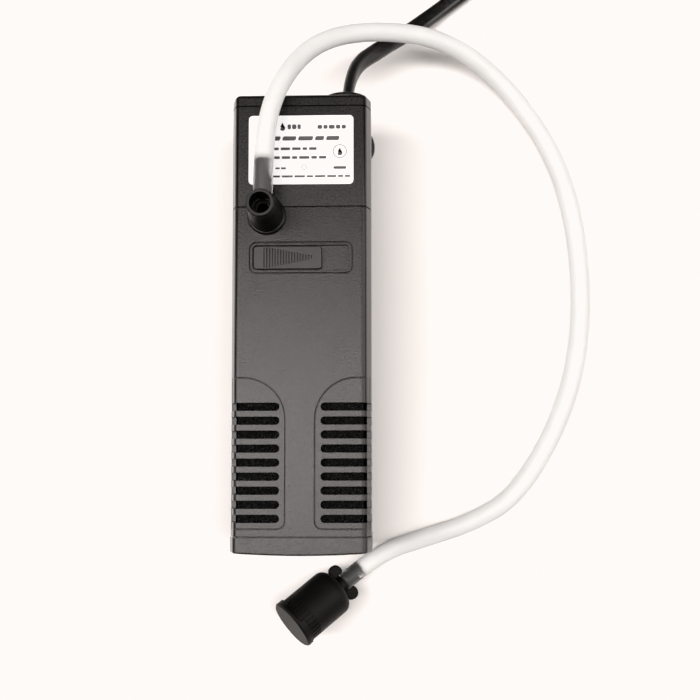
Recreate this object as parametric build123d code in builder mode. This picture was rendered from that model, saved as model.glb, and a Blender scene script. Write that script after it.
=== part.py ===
"""Small submersible fountain pump: potted motor head, slotted filter case, air hose with silencer.

Frame: millimetres, +Z out of the front face, +Y towards the cable end, origin at the bottom centre of the
pump's box, without its lead and hose. The pump lies on the suction cups on its back.
"""

import math
import os

from build123d import *

# ---- the body, a long box with slightly flared flanks ----
FRONT_Z = 41.0
BACK_Z = 7.0
FACE_HALF = 20.3
FLANK_HALF, FLANK_Z = 22.0, 35.5
BACK_HALF = 21.6
EDGE_R, FLANK_R, BACK_R = 2.0, 3.0, 2.0
TOP_Y = 70.7
CAP_SEAM_Y = 66.84
HEAD_SEAM_Y = 35.06
FOOT_SEAM_Y = -67.6
FOOT_Y = -73.5
FOOT_BOW = 0.7
SEAM_GAP, SEAM_DEPTH = 0.35, 1.0
WALL = 1.5
HEAD_WALL = 2.0
FOOT_PROUD = 0.2

# ---- the motor, its axis along Y ----
ROTOR_X, ROTOR_Z = -4.0, 24.0
WELL_R, WELL_WALL = 7.0, 0.8
WELL_END_Y = 59.7
MAGNET_R = 6.5
MAGNET_Y = (40.5, 58.0)
HUB_R = 2.2
SHAFT_R, SHAFT_PLAY = 1.0, 0.05
BUSH_R, BUSH_LENGTH = 2.4, 3.2
STACK_Y = (43.0, 56.0)
CORE_X = (-15.0, 16.5)
CORE_Z = (13.5, 34.5)
YOKE_X = 11.5
WINDOW_X = 4.9
LEG_DEPTH = 4.5
WELL_CLEAR = 0.1
BOBBIN_WALL, WINDING_DEPTH = 0.7, 2.4

# ---- the pump chamber ----
CHAMBER_R, CHAMBER_WALL = 9.0, 1.4
CHAMBER_Y = (27.4, HEAD_SEAM_Y)
COVER_THICK = 1.2
BLADE_R, BLADE_COUNT, BLADE_THICK = 8.0, 6, 0.8
BLADE_Y = (29.6, 34.3)
INTAKE_R = 5.2
O_RING_R, O_RING_WIRE = 11.4, 0.6

# ---- the outlet, its axis along Z ----
PORT_X, PORT_Y = -10.5, 31.9
PORT_R, PORT_BORE_R = 3.1, 2.4
PORT_TOP_Z = 44.6
MOUTH_R, MOUTH_BORE_R, MOUTH_Z = 4.3, 3.2, 59.0
MOUTH_STEP_Z, MOUTH_STEP_R = 54.8, 4.34
FLANGE_R, FLANGE_Z = 6.0, 42.4
SOCKET_R, SOCKET_Z = 3.15, 45.0
INSERT_R, INSERT_Z = 2.9, (45.2, 51.6)
ARM_Z, ARM_END_Y = 51.5, 36.5
BARB_ROOT_R, BARB_TIP_R, BARB_TIP_Y, BARB_BORE_R = 2.2, 1.9, 47.5, 0.9
STUB_RING_R, STUB_RING_WIRE, STUB_RING_Z = 3.0, 0.2, 43.2

# ---- the filter case's front ----
PANEL_X, PANEL_TOP_Y, PANEL_FOOT_Y = 4.4, -18.6, -65.5
PANEL_ARC_R, PANEL_FOOT_R, PANEL_DEPTH = 13.1, 2.5, 0.5
PANEL_GROOVE, PANEL_GROOVE_Z = 0.35, 39.85
SLOT_COUNT, SLOT_PITCH, SLOT_HIGH = 9, 4.31, 2.4
SLOT_TOP_Y, SLOT_X, SLOT_FLOOR_Z = -27.7, 6.4, 34.5
RECESS_X, RECESS_Y = (-14.9, 15.4), (14.8, 22.7)
RECESS_R, RECESS_DEPTH = 1.3, 1.2
RIM_GAP, RIM_WIDTH, RIM_DEPTH = 0.72, 0.36, 0.8
PAD_X, PAD_Y, PAD_Z = (-17.0, 17.6), (12.6, 24.8), 37.3
WINDOW_SPAN_X, WINDOW_SPAN_Y = (-14.0, -7.3), (16.0, 21.5)
GUIDE_X, GUIDE_Y = (-6.1, 5.6), (17.4, 20.1)
SLIDER_X, SLIDER_Y = (-14.5, 6.7), (15.2, 22.3)
SLIDER_Z = (39.95, 41.15)
STEM_X, STEM_Y, STEM_Z = (-6.0, -3.0), (17.6, 19.9), 35.9
CLIP_X, CLIP_Y, CLIP_Z = (-7.5, -1.5), (15.8, 21.7), (35.9, 37.1)
RIDGE_COUNT, RIDGE_PITCH, RIDGE_START_X = 18, 0.866, -11.2
RIDGE_TALL, RIDGE_SHORT, RIDGE_WIDTH, RIDGE_DEPTH = 6.3, 1.1, 0.42, 0.7
SPONGE_Y, GRID_Y = (-64.6, 11.2), (11.6, 13.0)
SPONGE_BORE_R = 5.0

# ---- the label ----
LABEL_X, LABEL_Y = (-16.25, 16.6), (41.9, 63.8)
LABEL_R, LABEL_THICK = 1.3, 0.15

# ---- the back ----
CUPS = [(14.6, 65.5), (-14.6, 65.5), (12.4, -38.0), (-12.4, -38.0)]
CUP_R, CUP_LIP, CUP_HIGH = 8.0, 0.7, 4.0
CUP_NECK_R, CUP_HEAD_R = 2.2, 3.3
BRACKET_Z = (4.2, 5.8)
BRACKET_X, BRACKET_Y = 18.6, (-42.5, 69.8)
RAIL_WIDTH = 1.6

# ---- the cable boss on the top cap ----
BOSS_X, BOSS_Z = 13.8, 30.4
BOSS_R, BOSS_PROUD = 7.2, 2.0
GROMMET_R = 4.3

# ---- the hose and the lead: points that their lines go towards ----
HOSE_R, HOSE_BORE_R = 3.0, 2.0
HOSE_POINTS = [
    (-10.5, 36.5, 51.5),
    (-10.5, 54.0, 51.5),
    (-6.5, 71.5, 48.5),
    (4.0, 89.5, 36.5),
    (22.0, 98.0, 24.5),
    (46.5, 99.0, 14.0),
    (67.0, 88.0, 3.05),
    (85.0, 62.0, 3.05),
    (92.5, 33.5, 3.05),
    (93.5, -0.5, 3.05),
    (86.5, -29.5, 3.05),
    (70.5, -56.5, 3.05),
    (54.5, -65.5, 3.05),
    (38.5, -70.5, 3.05),
    (23.5, -75.5, 3.05),
    (11.9, -84.8, 8.8),
]
LEAD_R = 2.85
LEAD_POINTS = [
    (14.5, 66.0, 31.6),
    (13.5, 83.0, 26.5),
    (26.0, 95.0, 17.0),
    (32.5, 102.0, 8.5),
    (44.5, 113.0, 3.0),
    (61.5, 125.5, 3.0),
    (69.5, 145.0, 3.0),
    (71.5, 163.0, 3.0),
]
COIL_X, COIL_Y = 34.0, 163.0
COIL_TURN_R, COIL_PITCH, COIL_TURNS = 37.3, 5.9, 3
COIL_LAYER_Z = (2.9, 8.75)
COIL_TOP_Z = 11.7
TAIL_POINTS = [
    (70.3, 155.0, 8.9),
    (71.0, 168.5, 12.0),
    (65.0, 181.0, 16.4),
    (52.5, 185.0, 18.6),
    (40.5, 181.4, 18.6),
]

# ---- the plug, lying across the coil ----
PLUG_WIDE, PLUG_THICK, PLUG_LONG = 35.3, 13.0, 34.0
RELIEF_LONG, RELIEF_R = 10.0, 4.2
PIN_R, PIN_LONG, PIN_SLEEVE_LONG, PIN_SPACING = 2.0, 19.0, 10.0, 18.6
TIE_WIDE, TIE_THICK, TIE_ANGLE = 8.0, 0.7, 250.0

# ---- the silencer on the hose's end, its axis along Z until it is placed ----
SILENCER_AZIMUTH, SILENCER_RISE = 38.66, 21.13
FLANGE_LIP_R, SILENCER_R = 8.55, 7.95
LUG_COUNT, LUG_WIDE = 4, 5.0
LIP_LONG, SILENCER_LONG = 2.6, 17.4
FLUTE_COUNT, FLUTE_WIDE, FLUTE_DEPTH, FLUTE_LONG = 32, 0.6, 0.3, 3.4
KNOB_HUB_R, KNOB_SPAN = 2.95, (20.2, 22.4)
EAR_ALONG, EAR_OUT, EAR_R, EAR_THICK = 22.55, 4.3, 2.3, 2.6
STEM_OUT_R, STEM_END, STEM_BORE_R = 2.1, 31.8, 1.0
HOSE_END_ON_STEM = 22.6


def across(y):
    """The plane across the body at y, its own x along X and its own y along Z, facing the foot."""
    return Plane(origin=(0, y, 0), x_dir=(1, 0, 0), z_dir=(0, -1, 0))


def moved_in(points, inset):
    """The corners of a counter-clockwise outline, moved in by inset."""
    found = []
    for i, corner in enumerate(points):
        before, after = points[i - 1], points[(i + 1) % len(points)]
        first = math.atan2(corner[1] - before[1], corner[0] - before[0])
        second = math.atan2(after[1] - corner[1], after[0] - corner[0])
        half = (second - first) % (2 * math.pi) / 2
        reach = inset / math.cos(half)
        inward = first + half + math.pi / 2
        found.append((corner[0] + reach * math.cos(inward), corner[1] + reach * math.sin(inward)))
    return found


def body_outline(inset=0.0, front=FRONT_Z, radii=(BACK_R, FLANK_R, EDGE_R)):
    """Adds the body's cross-section to the sketch being built."""
    right = [(BACK_HALF, BACK_Z), (FLANK_HALF, FLANK_Z), (FACE_HALF, front)]
    corners = moved_in(right + [(-x, z) for x, z in reversed(right)], inset)
    rounds = list(radii) + list(reversed(radii))
    with BuildLine() as outline:
        FilletPolyline(*corners, radius=rounds, close=True)
    make_face(outline.edges())


def box_between(x, y, z, mode=Mode.ADD):
    """A box from its three spans."""
    with Locations(((x[0] + x[1]) / 2, (y[0] + y[1]) / 2, (z[0] + z[1]) / 2)):
        Box(x[1] - x[0], y[1] - y[0], z[1] - z[0], mode=mode)


def rod(x, z, radius, y, mode=Mode.ADD):
    """A cylinder along Y between two values of y."""
    with BuildSketch(across(y[1])) as disc:
        with Locations((x, z)):
            Circle(radius)
    extrude(disc.sketch, amount=y[1] - y[0], mode=mode)


def block(x, y, radius, z, mode=Mode.ADD):
    """A box with rounded corners seen along Z."""
    with BuildSketch(Plane.XY.offset(z[0])) as seen:
        with Locations(((x[0] + x[1]) / 2, (y[0] + y[1]) / 2)):
            RectangleRounded(x[1] - x[0], y[1] - y[0], radius)
    extrude(seen.sketch, amount=z[1] - z[0], mode=mode)


def corner_radii(points):
    """Each corner's arc: 0.45 of the shorter run over the tangent of half the turn."""
    vectors = [Vector(*point) for point in points]
    found = []
    for before, corner, after in zip(vectors, vectors[1:], vectors[2:]):
        incoming, outgoing = corner - before, after - corner
        turn = math.radians(incoming.get_angle(outgoing))
        found.append(0.45 * min(incoming.length, outgoing.length) / math.tan(turn / 2))
    return found


def sweep_along(points, radius, bore=0.0):
    """Adds a round tube along the points, and returns its path's length."""
    with BuildLine() as path:
        FilletPolyline(*points, radius=corner_radii(points))
    route = path.wires()[0]
    start = Plane(origin=route @ 0, z_dir=route % 0)
    with BuildSketch(start) as section:
        Circle(radius)
        if bore:
            Circle(bore, mode=Mode.SUBTRACT)
    sweep(section.sketch, path=route)
    return route.length


def finish(builder, name):
    """Labels a piece and writes its file."""
    builder.part.label = name
    export_step(builder.part, f"parts/{name}.step")


def report_tube(name, builder, points, area, length):
    """Prints a tube's radii, and its volume beside its section times its length."""
    radii = [round(radius, 1) for radius in corner_radii(points)]
    print(name, "radii", radii, "length", round(length, 1))
    print(name, "volume", round(builder.part.volume, 1), "section x length", round(area * length, 1))


os.makedirs("parts", exist_ok=True)

# ================= head =================
with BuildPart() as motor_housing:
    with BuildSketch(across(CAP_SEAM_Y)):
        body_outline()
    extrude(amount=CAP_SEAM_Y - HEAD_SEAM_Y)
    with BuildSketch(across(CAP_SEAM_Y)):
        body_outline(HEAD_WALL, radii=(0.8, 1.5, 0.6))
    extrude(amount=CAP_SEAM_Y - HEAD_SEAM_Y - HEAD_WALL, mode=Mode.SUBTRACT)
    rod(ROTOR_X, ROTOR_Z, WELL_R + WELL_WALL, (HEAD_SEAM_Y, WELL_END_Y + WELL_WALL))
    rod(ROTOR_X, ROTOR_Z, BUSH_R + 1.2, (WELL_END_Y, WELL_END_Y + BUSH_LENGTH + 0.8))
    rod(ROTOR_X, ROTOR_Z, WELL_R, (HEAD_SEAM_Y, WELL_END_Y), mode=Mode.SUBTRACT)
    rod(ROTOR_X, ROTOR_Z, BUSH_R, (WELL_END_Y, WELL_END_Y + BUSH_LENGTH), mode=Mode.SUBTRACT)
    # the port passes through a shallow notch in the front wall's lower edge
    with BuildSketch(Plane.XY.offset(FRONT_Z - HEAD_WALL - 0.5)):
        with Locations((PORT_X, PORT_Y)):
            Circle(PORT_R + 0.3)
    extrude(amount=3, mode=Mode.SUBTRACT)
finish(motor_housing, "motor_housing")

with BuildPart() as top_cap:
    with BuildSketch(across(TOP_Y)):
        body_outline()
    extrude(amount=TOP_Y - CAP_SEAM_Y - SEAM_GAP)
    fillet(top_cap.faces().sort_by(Axis.Y)[-1].outer_wire().edges(), 1.25)
    with BuildSketch(across(TOP_Y + BOSS_PROUD)):
        with Locations((BOSS_X, BOSS_Z)):
            Circle(BOSS_R)
    extrude(amount=BOSS_PROUD + 1)
    fillet(top_cap.faces().sort_by(Axis.Y)[-1].edges(), 0.7)
    with BuildSketch(across(CAP_SEAM_Y + SEAM_GAP)):
        body_outline(SEAM_DEPTH, radii=(1.2, 2.0, 0.6))
    extrude(amount=SEAM_GAP)
    rod(BOSS_X, BOSS_Z, GROMMET_R, (CAP_SEAM_Y, TOP_Y + BOSS_PROUD), mode=Mode.SUBTRACT)
finish(top_cap, "top_cap")

with BuildPart() as cable_grommet:
    rod(BOSS_X, BOSS_Z, GROMMET_R, (CAP_SEAM_Y, TOP_Y + BOSS_PROUD))
    rod(BOSS_X, BOSS_Z, LEAD_R, (CAP_SEAM_Y, TOP_Y + BOSS_PROUD), mode=Mode.SUBTRACT)
finish(cable_grommet, "cable_grommet")

with BuildPart() as rating_label:
    block(LABEL_X, LABEL_Y, LABEL_R, (FRONT_Z, FRONT_Z + LABEL_THICK))
finish(rating_label, "rating_label")

# ================= motor =================
with BuildPart() as stator_core:
    box_between(CORE_X, STACK_Y, CORE_Z)
    rod(ROTOR_X, ROTOR_Z, WELL_R + WELL_WALL + WELL_CLEAR, STACK_Y, mode=Mode.SUBTRACT)
    window_z = (CORE_Z[0] + LEG_DEPTH, CORE_Z[1] - LEG_DEPTH)
    box_between((WINDOW_X, YOKE_X), STACK_Y, window_z, mode=Mode.SUBTRACT)
    # slits that part the two poles
    slit_z = (ROTOR_Z - 1.0, ROTOR_Z + 1.0)
    box_between((CORE_X[0], WINDOW_X), STACK_Y, slit_z, mode=Mode.SUBTRACT)
finish(stator_core, "stator_core")

bobbin_x = (YOKE_X - BOBBIN_WALL, CORE_X[1] + BOBBIN_WALL)
bobbin_y = (STACK_Y[0] - BOBBIN_WALL, STACK_Y[1] + BOBBIN_WALL)
winding_x = (bobbin_x[0] - WINDING_DEPTH, bobbin_x[1] + WINDING_DEPTH)
winding_y = (bobbin_y[0] - WINDING_DEPTH, bobbin_y[1] + WINDING_DEPTH)
cheek_z = [
    (window_z[0], window_z[0] + BOBBIN_WALL),
    (window_z[1] - BOBBIN_WALL, window_z[1]),
]
with BuildPart() as coil_bobbin:
    box_between(bobbin_x, bobbin_y, window_z)
    for span in cheek_z:
        box_between(winding_x, winding_y, span)
    box_between((YOKE_X, CORE_X[1]), STACK_Y, window_z, mode=Mode.SUBTRACT)
finish(coil_bobbin, "coil_bobbin")

with BuildPart() as coil_winding:
    winding_z = (cheek_z[0][1], cheek_z[1][0])
    box_between(winding_x, winding_y, winding_z)
    fillet(coil_winding.edges().filter_by(Axis.Z), 2.0)
    box_between(bobbin_x, bobbin_y, winding_z, mode=Mode.SUBTRACT)
finish(coil_winding, "coil_winding")

lead_x, lead_z = LEAD_POINTS[0][0], LEAD_POINTS[0][2]
lead_starts = [(lead_x - 1.3, lead_z), (lead_x + 1.3, lead_z)]
with BuildPart() as crimp_sleeves:
    for x, z in lead_starts:
        rod(x, z, 1.0, (62.6, 65.0))
finish(crimp_sleeves, "crimp_sleeves")

with BuildPart() as lead_wires:
    for x, z in lead_starts:
        rod(x, z, 0.6, (winding_y[1], 62.6))
        rod(x, z, 0.6, (65.0, 66.0))
finish(lead_wires, "lead_wires")

with BuildPart() as potting_resin:
    with BuildSketch(across(CAP_SEAM_Y)):
        body_outline(HEAD_WALL, radii=(0.8, 1.5, 0.6))
    extrude(amount=CAP_SEAM_Y - HEAD_SEAM_Y - HEAD_WALL)
    rod(ROTOR_X, ROTOR_Z, WELL_R + WELL_WALL, (HEAD_SEAM_Y, WELL_END_Y + WELL_WALL), mode=Mode.SUBTRACT)
    bush_socket_y = (WELL_END_Y, WELL_END_Y + BUSH_LENGTH + 0.8)
    rod(ROTOR_X, ROTOR_Z, BUSH_R + 1.2, bush_socket_y, mode=Mode.SUBTRACT)
    for inner in (stator_core, coil_bobbin, coil_winding, crimp_sleeves, lead_wires):
        add(inner.part, mode=Mode.SUBTRACT)
    rod(ROTOR_X, ROTOR_Z, WELL_R + WELL_WALL + WELL_CLEAR, STACK_Y, mode=Mode.SUBTRACT)
    rod(lead_x, lead_z, LEAD_R, (66.0, CAP_SEAM_Y), mode=Mode.SUBTRACT)
finish(potting_resin, "potting_resin")

# ================= rotor =================
with BuildPart() as impeller_shaft:
    rod(ROTOR_X, ROTOR_Z, SHAFT_R, (CHAMBER_Y[0] - 1.0, WELL_END_Y + BUSH_LENGTH - 0.8))
finish(impeller_shaft, "impeller_shaft")

with BuildPart() as shaft_bush_top:
    rod(ROTOR_X, ROTOR_Z, BUSH_R, (WELL_END_Y, WELL_END_Y + BUSH_LENGTH))
    rod(ROTOR_X, ROTOR_Z, SHAFT_R, (WELL_END_Y, WELL_END_Y + BUSH_LENGTH - 0.8), mode=Mode.SUBTRACT)
finish(shaft_bush_top, "shaft_bush_top")

bottom_bush_y = (CHAMBER_Y[0] - 2.0, CHAMBER_Y[0] + COVER_THICK)
with BuildPart() as shaft_bush_bottom:
    rod(ROTOR_X, ROTOR_Z, BUSH_R - 0.6, bottom_bush_y)
    rod(ROTOR_X, ROTOR_Z, SHAFT_R, (bottom_bush_y[0] + 1.0, bottom_bush_y[1]), mode=Mode.SUBTRACT)
finish(shaft_bush_bottom, "shaft_bush_bottom")

with BuildPart() as rotor_magnet:
    rod(ROTOR_X, ROTOR_Z, MAGNET_R, MAGNET_Y)
    rod(ROTOR_X, ROTOR_Z, HUB_R, MAGNET_Y, mode=Mode.SUBTRACT)
finish(rotor_magnet, "rotor_magnet")

with BuildPart() as impeller:
    rod(ROTOR_X, ROTOR_Z, HUB_R, (BLADE_Y[0], MAGNET_Y[1] + 0.6))
    rod(ROTOR_X, ROTOR_Z, MAGNET_R - 0.3, (BLADE_Y[1] - 0.8, MAGNET_Y[0]))
    with BuildSketch(across(BLADE_Y[1])):
        with Locations((ROTOR_X, ROTOR_Z)):
            with PolarLocations(0, BLADE_COUNT):
                with Locations((BLADE_R / 2, 0)):
                    Rectangle(BLADE_R, BLADE_THICK)
    extrude(amount=BLADE_Y[1] - BLADE_Y[0])
    rod(ROTOR_X, ROTOR_Z, SHAFT_R + SHAFT_PLAY, (BLADE_Y[0], MAGNET_Y[1] + 0.6), mode=Mode.SUBTRACT)
finish(impeller, "impeller")

# ================= pump chamber =================
with BuildPart() as volute_housing:
    rod(ROTOR_X, ROTOR_Z, CHAMBER_R + CHAMBER_WALL, CHAMBER_Y)
    rod(ROTOR_X, ROTOR_Z, O_RING_R + 1.0, (CHAMBER_Y[1] - 1.9, CHAMBER_Y[1]))
    with BuildSketch(Plane.XY.offset(ROTOR_Z)):
        with Locations((PORT_X, PORT_Y)):
            Circle(PORT_R)
    extrude(amount=PORT_TOP_Z - ROTOR_Z)
    with BuildSketch(Plane.XY.offset(STUB_RING_Z - STUB_RING_WIRE)):
        with Locations((PORT_X, PORT_Y)):
            Circle(PORT_R + 0.5)
            Circle(STUB_RING_R - STUB_RING_WIRE, mode=Mode.SUBTRACT)
    extrude(amount=2 * STUB_RING_WIRE, mode=Mode.SUBTRACT)
    rod(ROTOR_X, ROTOR_Z, CHAMBER_R, CHAMBER_Y, mode=Mode.SUBTRACT)
    with BuildSketch(Plane.XY.offset(ROTOR_Z)):
        with Locations((PORT_X, PORT_Y)):
            Circle(PORT_BORE_R)
    extrude(amount=PORT_TOP_Z - ROTOR_Z, mode=Mode.SUBTRACT)
    # face groove for the chamber's seal
    with BuildSketch(across(CHAMBER_Y[1])):
        with Locations((ROTOR_X, ROTOR_Z)):
            Circle(O_RING_R + O_RING_WIRE)
            Circle(O_RING_R - O_RING_WIRE, mode=Mode.SUBTRACT)
    extrude(amount=2 * O_RING_WIRE, mode=Mode.SUBTRACT)
    # flat where the port meets the head's lower face
    box_between((-20, 20), (HEAD_SEAM_Y, HEAD_SEAM_Y + 3), (10, 50), mode=Mode.SUBTRACT)
finish(volute_housing, "volute_housing")

with BuildPart() as chamber_o_ring:
    with BuildSketch(Plane.XY.offset(ROTOR_Z)) as wire:
        with Locations((ROTOR_X + O_RING_R, CHAMBER_Y[1] - O_RING_WIRE)):
            Circle(O_RING_WIRE - 0.02)
    revolve(axis=Axis((ROTOR_X, 0, ROTOR_Z), (0, 1, 0)))
finish(chamber_o_ring, "chamber_o_ring")

with BuildPart() as intake_cover:
    rod(ROTOR_X, ROTOR_Z, CHAMBER_R, (CHAMBER_Y[0], CHAMBER_Y[0] + COVER_THICK))
    rod(ROTOR_X, ROTOR_Z, CHAMBER_R + CHAMBER_WALL + 0.6, (CHAMBER_Y[0] - 1.2, CHAMBER_Y[0]))
    with BuildSketch(across(CHAMBER_Y[0] + COVER_THICK)):
        with Locations((ROTOR_X, ROTOR_Z)):
            Circle(INTAKE_R)
            Circle(BUSH_R + 0.4, mode=Mode.SUBTRACT)
            with PolarLocations(0, 3):
                with Locations((INTAKE_R / 2 + 1, 0)):
                    Rectangle(INTAKE_R + 2, 1.2, mode=Mode.SUBTRACT)
    extrude(amount=COVER_THICK + 1.2, mode=Mode.SUBTRACT)
    rod(ROTOR_X, ROTOR_Z, BUSH_R + 0.4, (CHAMBER_Y[0] - 2.0, CHAMBER_Y[0]))
    rod(ROTOR_X, ROTOR_Z, BUSH_R - 0.6, bottom_bush_y, mode=Mode.SUBTRACT)
finish(intake_cover, "intake_cover")

# ================= outlet =================
with BuildPart() as outlet_nozzle:
    with BuildSketch(Plane.XZ.offset(-PORT_Y)):
        with BuildLine():
            Polyline(
                (PORT_X, FRONT_Z + 0.05),
                (PORT_X + FLANGE_R - 0.3, FRONT_Z + 0.05),
                (PORT_X + FLANGE_R, FRONT_Z + 0.35),
                (PORT_X + FLANGE_R, FLANGE_Z - 0.35),
                (PORT_X + FLANGE_R - 0.4, FLANGE_Z),
                (PORT_X + 5.0, FLANGE_Z + 0.1),
                (PORT_X + 5.0, FLANGE_Z + 0.7),
                (PORT_X + 5.45, FLANGE_Z + 1.1),
                (PORT_X + 5.45, FLANGE_Z + 1.9),
                (PORT_X + 4.75, MOUTH_Z - 8.0),
                (PORT_X + MOUTH_STEP_R, MOUTH_STEP_Z - 0.4),
                (PORT_X + MOUTH_STEP_R, MOUTH_STEP_Z),
                (PORT_X + MOUTH_R, MOUTH_STEP_Z),
                (PORT_X + MOUTH_R, MOUTH_Z - 0.3),
                (PORT_X + MOUTH_R - 0.3, MOUTH_Z),
                (PORT_X, MOUTH_Z),
                close=True,
            )
        make_face()
    revolve(axis=Axis((PORT_X, PORT_Y, 0), (0, 0, 1)))
    # the air side arm: a collar, then a smooth tapered spigot
    with BuildSketch(across(ARM_END_Y)):
        with Locations((PORT_X, ARM_Z)):
            Circle(2.75)
    extrude(amount=ARM_END_Y - PORT_Y)
    with BuildSketch(Plane.YZ.offset(PORT_X)):
        with BuildLine():
            spigot = Polyline(
                (ARM_END_Y - 0.5, ARM_Z),
                (ARM_END_Y - 0.5, ARM_Z + BARB_ROOT_R),
                (BARB_TIP_Y - 1.0, ARM_Z + BARB_TIP_R),
            )
            tip = TangentArc(spigot @ 1, (BARB_TIP_Y, ARM_Z + 0.9), tangent=spigot % 1)
            Polyline(tip @ 1, (BARB_TIP_Y, ARM_Z), (ARM_END_Y - 0.5, ARM_Z))
        make_face()
    revolve(axis=Axis((PORT_X, 0, ARM_Z), (0, 1, 0)))
    for radius, low, high in (
        (SOCKET_R, FRONT_Z - 1, SOCKET_Z),
        (INSERT_R - 0.6, SOCKET_Z - 0.5, INSERT_Z[0]),
        (INSERT_R, INSERT_Z[0], INSERT_Z[1]),
        (MOUTH_BORE_R, INSERT_Z[1], MOUTH_Z + 1),
    ):
        with BuildSketch(Plane.XY.offset(low)):
            with Locations((PORT_X, PORT_Y)):
                Circle(radius)
        extrude(amount=high - low, mode=Mode.SUBTRACT)
    rod(PORT_X, ARM_Z, BARB_BORE_R, (PORT_Y, BARB_TIP_Y + 1), mode=Mode.SUBTRACT)
finish(outlet_nozzle, "outlet_nozzle")

with BuildPart() as outlet_o_ring:
    with BuildSketch(Plane.XZ.offset(-PORT_Y)):
        with Locations((PORT_X + STUB_RING_R - 0.02, STUB_RING_Z)):
            Circle(STUB_RING_WIRE - 0.05)
    revolve(axis=Axis((PORT_X, PORT_Y, 0), (0, 0, 1)))
finish(outlet_o_ring, "outlet_o_ring")

with BuildPart() as venturi_insert:
    with BuildSketch(Plane.XZ.offset(-PORT_Y)):
        with BuildLine():
            Polyline(
                (PORT_X + 2.0, INSERT_Z[0]),
                (PORT_X + INSERT_R, INSERT_Z[0]),
                (PORT_X + INSERT_R, INSERT_Z[1] - 2.4),
                (PORT_X + 2.5, INSERT_Z[1] - 2.4),
                (PORT_X + 2.5, INSERT_Z[1] - 1.4),
                (PORT_X + 2.1, INSERT_Z[1] - 1.0),
                (PORT_X + 1.9, INSERT_Z[1] - 1.0),
                (PORT_X + 1.7, INSERT_Z[1] - 1.8),
                (PORT_X + 1.7, INSERT_Z[0] + 2.0),
                close=True,
            )
        make_face()
    revolve(axis=Axis((PORT_X, PORT_Y, 0), (0, 0, 1)))
finish(venturi_insert, "venturi_insert")

# ================= filter case =================
def panel(side, inset=0.0, mode=Mode.ADD):
    """Adds one lowered panel's outline, moved in by inset, to the sketch being built."""
    outer, inner = side * (FLANK_HALF + 4), side * (PANEL_X + inset)
    top, foot = PANEL_TOP_Y - inset, PANEL_FOOT_Y + inset
    radii = [PANEL_ARC_R - inset, PANEL_FOOT_R - inset]
    with BuildLine() as outline:
        FilletPolyline((outer, top), (inner, top), (inner, foot), (outer, foot), radius=radii)
        Line((outer, foot), (outer, top))
    make_face(outline.edges(), mode=mode)


with BuildPart() as panel_cutter:
    with BuildSketch(Plane.XY.offset(FRONT_Z - 4)):
        for side in (1, -1):
            panel(side)
    extrude(amount=8)
    with BuildSketch(across(PANEL_TOP_Y + 5)):
        body_outline(front=FRONT_Z - PANEL_DEPTH)
    extrude(amount=PANEL_TOP_Y - PANEL_FOOT_Y + 10, mode=Mode.SUBTRACT)

with BuildPart() as filter_body:
    with BuildSketch(across(HEAD_SEAM_Y - SEAM_GAP)):
        body_outline()
    extrude(amount=HEAD_SEAM_Y - SEAM_GAP - FOOT_SEAM_Y)
    with BuildSketch(across(HEAD_SEAM_Y)):
        body_outline(SEAM_DEPTH, radii=(1.2, 2.0, 0.6))
    extrude(amount=SEAM_GAP)
    add(panel_cutter.part, mode=Mode.SUBTRACT)
    with BuildSketch(Plane.XY.offset(PANEL_GROOVE_Z)):
        for side in (1, -1):
            panel(side)
            panel(side, PANEL_GROOVE, mode=Mode.SUBTRACT)
    extrude(amount=2, mode=Mode.SUBTRACT)
    with BuildSketch(across(HEAD_SEAM_Y)):
        body_outline(WALL, radii=(0.8, 1.5, 0.6))
    extrude(amount=HEAD_SEAM_Y - FOOT_SEAM_Y, mode=Mode.SUBTRACT)
    box_between(PAD_X, PAD_Y, (PAD_Z, FRONT_Z - WALL))
    # the slots, round at their inner ends and open on the flanks
    with BuildSketch(Plane.XY.offset(SLOT_FLOOR_Z)):
        for row in range(SLOT_COUNT):
            slot_y = SLOT_TOP_Y - row * SLOT_PITCH
            for side in (1, -1):
                slot_end = SLOT_X + SLOT_HIGH / 2
                with Locations((side * slot_end, slot_y)):
                    Circle(SLOT_HIGH / 2)
                with Locations((side * (slot_end + FLANK_HALF + 2) / 2, slot_y)):
                    Rectangle(FLANK_HALF + 2 - slot_end, SLOT_HIGH)
    extrude(amount=FRONT_Z + 1 - SLOT_FLOOR_Z, mode=Mode.SUBTRACT)
    # the slider's recess, its rim line, its window and its guide slot
    block(RECESS_X, RECESS_Y, RECESS_R, (FRONT_Z - RECESS_DEPTH, FRONT_Z + 1), mode=Mode.SUBTRACT)
    with BuildSketch(Plane.XY.offset(FRONT_Z - RIM_DEPTH)):
        with Locations((sum(RECESS_X) / 2, sum(RECESS_Y) / 2)):
            wide, tall = RECESS_X[1] - RECESS_X[0], RECESS_Y[1] - RECESS_Y[0]
            outer, inner = 2 * (RIM_GAP + RIM_WIDTH), 2 * RIM_GAP
            RectangleRounded(wide + outer, tall + outer, RECESS_R + outer / 2)
            RectangleRounded(wide + inner, tall + inner, RECESS_R + inner / 2, mode=Mode.SUBTRACT)
    extrude(amount=2, mode=Mode.SUBTRACT)
    box_between(WINDOW_SPAN_X, WINDOW_SPAN_Y, (PAD_Z - 1, FRONT_Z), mode=Mode.SUBTRACT)
    box_between(GUIDE_X, GUIDE_Y, (PAD_Z - 1, FRONT_Z), mode=Mode.SUBTRACT)
    # the notch that lets the case slide off under the nozzle's flange
    with BuildSketch(Plane.XY.offset(FRONT_Z - WALL - 1)):
        with Locations((PORT_X, PORT_Y)):
            Circle(PORT_R + 0.3)
        with Locations((PORT_X, PORT_Y + 2.5)):
            Rectangle(2 * PORT_R + 0.6, 5)
    extrude(amount=6, mode=Mode.SUBTRACT)
finish(filter_body, "filter_body")

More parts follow.
